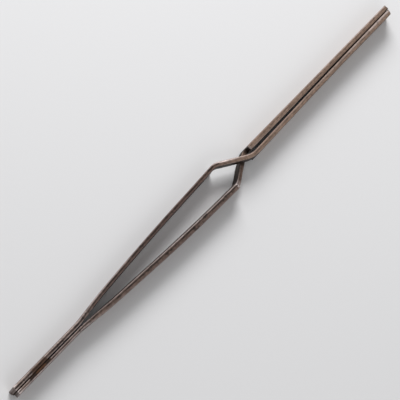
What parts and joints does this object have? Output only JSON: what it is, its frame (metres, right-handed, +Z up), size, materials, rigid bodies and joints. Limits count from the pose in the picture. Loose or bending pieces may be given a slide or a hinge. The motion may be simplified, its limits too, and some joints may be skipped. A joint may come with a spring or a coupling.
{
  "type": "reverse tweezers",
  "caption": "Self-closing reverse tweezers of bowed steel strip, brazed at the tail, whose arms cross through each other and hold the tips shut until the bow is squeezed.",
  "frame": {"origin": "under the middle of the tool, on the surface that it lies on", "axes": "+X from the joined tail to the tips, +Y to the side where the front arm bows out, +Z up across the width of the strips"},
  "size_m": [0.25, 0.0156, 0.009],
  "materials": {
    "arm_steel": "old spring steel with a brown-grey patina and worn bright edges",
    "braze": "dull brown braze metal with rust"
  },
  "bodies": {
    "tail": {"front_tail_strip": "arm_steel", "back_tail_strip": "arm_steel", "braze_seam": "braze"},
    "front_arm": {"front_arm": "arm_steel"},
    "back_arm": {"back_arm": "arm_steel"}
  },
  "joints": [
    {"name": "front_arm_flex", "type": "hinge", "parent": "tail", "child": "front_arm", "pos_m": [-0.082, 0.0012, 0.0045], "axis": [0, 0, -1], "range_deg": [0, 2.8], "stiffness_Nm_per_rad": 43, "springref_deg": -1.72},
    {"name": "back_arm_flex", "type": "hinge", "parent": "tail", "child": "back_arm", "pos_m": [-0.082, -0.0012, 0.0045], "axis": [0, 0, 1], "range_deg": [0, 2.8], "stiffness_Nm_per_rad": 43, "springref_deg": -1.72}
  ],
  "couplings": [
    {"joint": "back_arm_flex", "follows": "front_arm_flex", "ratio": 1}
  ]
}
